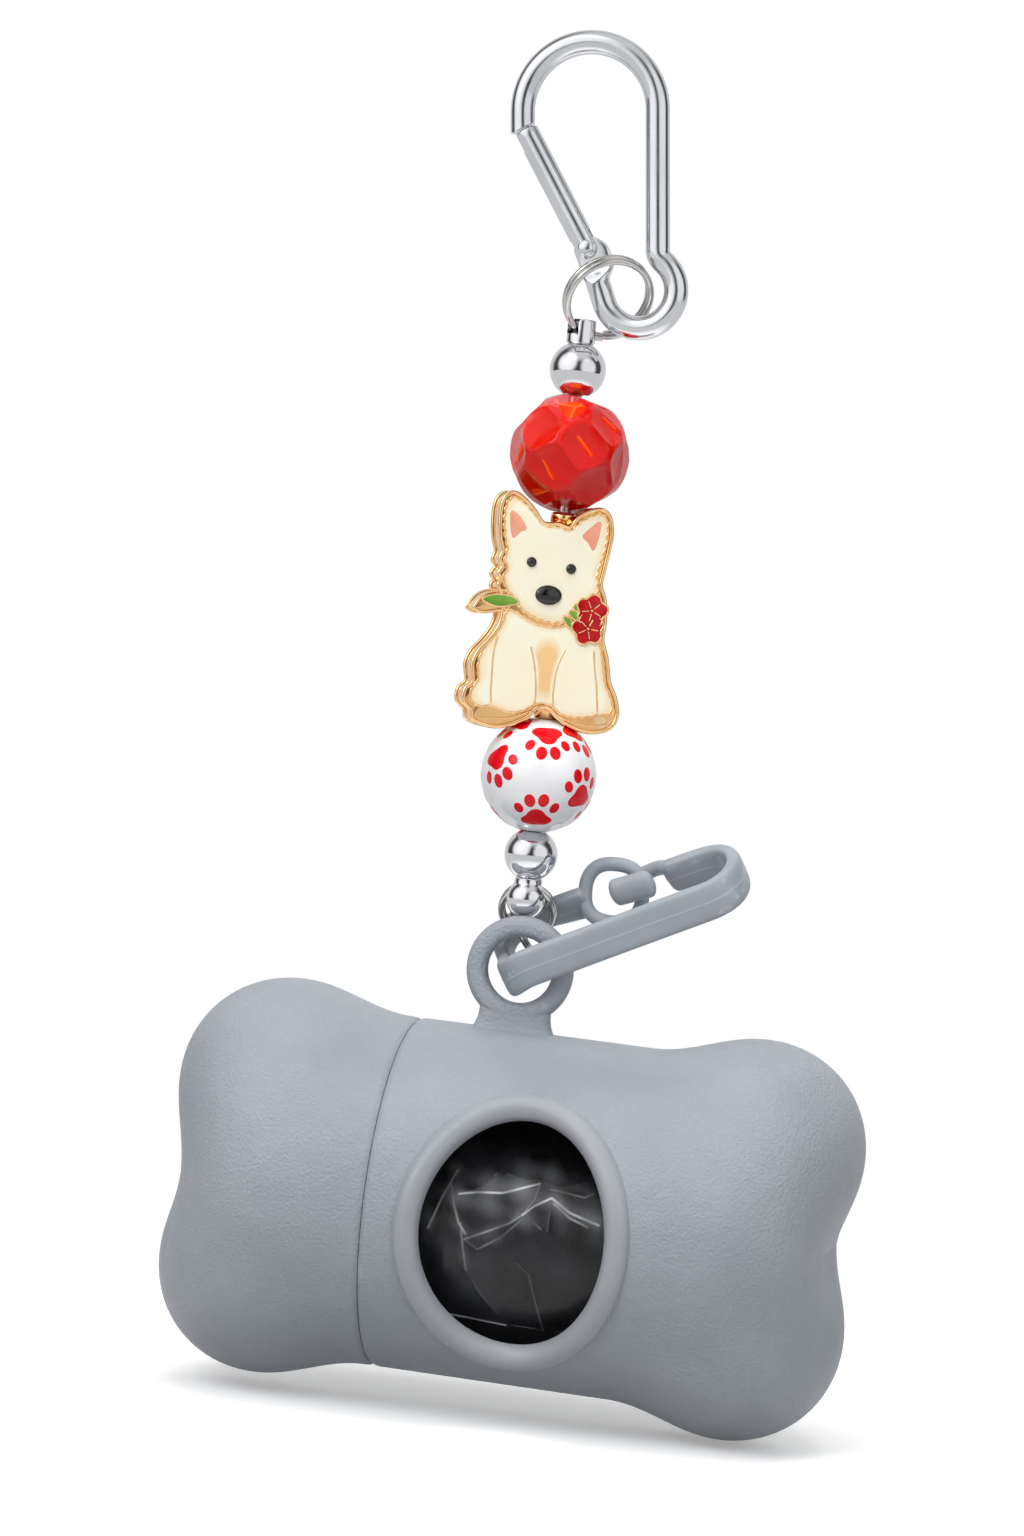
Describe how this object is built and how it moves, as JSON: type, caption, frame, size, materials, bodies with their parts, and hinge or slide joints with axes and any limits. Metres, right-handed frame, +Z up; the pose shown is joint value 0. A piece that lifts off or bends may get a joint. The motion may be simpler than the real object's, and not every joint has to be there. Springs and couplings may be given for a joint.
{
  "type": "dog poop bag dispenser",
  "caption": "Bone-shaped case for a roll of pet waste bags, with a front window, hung by a soft strap clip and small rings from a string of beads with a puppy charm and a small carabiner.",
  "frame": {"origin": "Inner top of the carabiner's wide bend, the point by which the whole thing hangs.", "axes": "+Z up along the hanging chain; +X along the bone, from the cap towards the body; -Y is the front, where the bag window faces."},
  "size_m": [0.0918, 0.0474, 0.1817],
  "materials": {
    "carabiner_metal": "polished",
    "spring_wire": "satin",
    "ring_steel": "polished",
    "bead_chrome": "mirror",
    "red_acrylic": "clear, faceted",
    "rose_gold": "polished",
    "cream_enamel": "gloss",
    "peach_enamel": "gloss",
    "pink_enamel": "gloss",
    "black_enamel": "gloss",
    "green_enamel": "gloss",
    "red_enamel": "gloss",
    "white_gloss": "gloss with red paw prints",
    "blue_grey_soft": "soft satin",
    "blue_grey_shell": "matte, fine grain",
    "black_film": "crinkled film",
    "card": "plain card"
  },
  "bodies": {
    "carabiner": {"carabiner_frame": "carabiner_metal", "gate_rivet": "carabiner_metal"},
    "gate": {"carabiner_gate": "carabiner_metal", "gate_spring": "spring_wire", "gate_plunger": "spring_wire"},
    "top_ring": {"top_split_ring": "ring_steel"},
    "bar": {"bail_head": "bead_chrome", "bead_rod": "bead_chrome"},
    "top_ball": {"top_ball": "bead_chrome"},
    "red_bead": {"red_bead": "red_acrylic"},
    "charm": {"charm_body": "rose_gold", "charm_fur": "cream_enamel", "charm_shade": "peach_enamel", "charm_ears": "pink_enamel", "charm_face": "black_enamel", "charm_leaves": "green_enamel", "charm_flower": "red_enamel"},
    "white_bead": {"white_bead": "white_gloss"},
    "low_ball": {"low_ball": "bead_chrome"},
    "small_ring": {"small_split_ring": "ring_steel"},
    "jump_ring": {"jump_ring": "ring_steel"},
    "strap": {"clip_strap": "blue_grey_soft"},
    "case": {"body_shell": "blue_grey_shell"},
    "cap": {"cap_shell": "blue_grey_shell"},
    "roll": {"bag_roll": "black_film", "roll_core": "card", "leading_bag": "black_film"}
  },
  "joints": [
    {"name": "gate_hinge", "type": "hinge", "parent": "carabiner", "child": "gate", "pos_m": [0.00143, 0, -0.0255], "axis": [0, 1, 0], "range_deg": [0, 35], "stiffness_Nm_per_rad": 0.012, "springref_deg": -22.92},
    {"name": "ring_turn", "type": "hinge", "parent": "carabiner", "child": "top_ring", "pos_m": [0.00498, 0, -0.03341], "axis": [0.6157, 0, -0.788], "range_deg": [-6, 6]},
    {"name": "chain_swing", "type": "hinge", "parent": "top_ring", "child": "bar", "pos_m": [0.0017, 0, -0.03629], "axis": [0.6668, 0.6688, -0.3289], "range_deg": [-6, 6]},
    {"name": "top_ball_spin", "type": "hinge", "parent": "bar", "child": "top_ball", "pos_m": [0.0017, 0, -0.04142], "axis": [0, 0, 1], "continuous": true},
    {"name": "red_bead_spin", "type": "hinge", "parent": "bar", "child": "red_bead", "pos_m": [0.0017, 0, -0.05248], "axis": [0, 0, 1], "continuous": true},
    {"name": "charm_spin", "type": "hinge", "parent": "bar", "child": "charm", "pos_m": [0.0017, 0, -0.07389], "axis": [0, 0, 1], "continuous": true},
    {"name": "white_bead_spin", "type": "hinge", "parent": "bar", "child": "white_bead", "pos_m": [0.0017, 0, -0.095], "axis": [0, 0, 1], "continuous": true},
    {"name": "low_ball_spin", "type": "hinge", "parent": "bar", "child": "low_ball", "pos_m": [0.0017, 0, -0.10551], "axis": [0, 0, 1], "continuous": true},
    {"name": "small_ring_swing", "type": "hinge", "parent": "bar", "child": "small_ring", "pos_m": [0.0017, 0, -0.10975], "axis": [1, 0, 0], "range_deg": [-5, 0]},
    {"name": "jump_ring_swing", "type": "hinge", "parent": "small_ring", "child": "jump_ring", "pos_m": [0.0017, 0.00279, -0.11611], "axis": [1, 0, 0], "range_deg": [-2, 0]},
    {"name": "strap_swing", "type": "hinge", "parent": "jump_ring", "child": "strap", "pos_m": [-0.0005, 0.0045, -0.1175], "axis": [0, 1, 0], "range_deg": [-2, 2]},
    {"name": "bone_swing", "type": "hinge", "parent": "strap", "child": "case", "pos_m": [0.0023, -0.0031, -0.1206], "axis": [0, 1, 0], "range_deg": [-3, 3]},
    {"name": "cap_off", "type": "slide", "parent": "case", "child": "cap", "axis": [-0.9998, 0, 0.0209], "range_m": [0, 0.045]},
    {"name": "roll_spin", "type": "hinge", "parent": "case", "child": "roll", "pos_m": [0.00394, -0.0031, -0.15459], "axis": [0.9998, 0, -0.0209], "continuous": true}
  ]
}
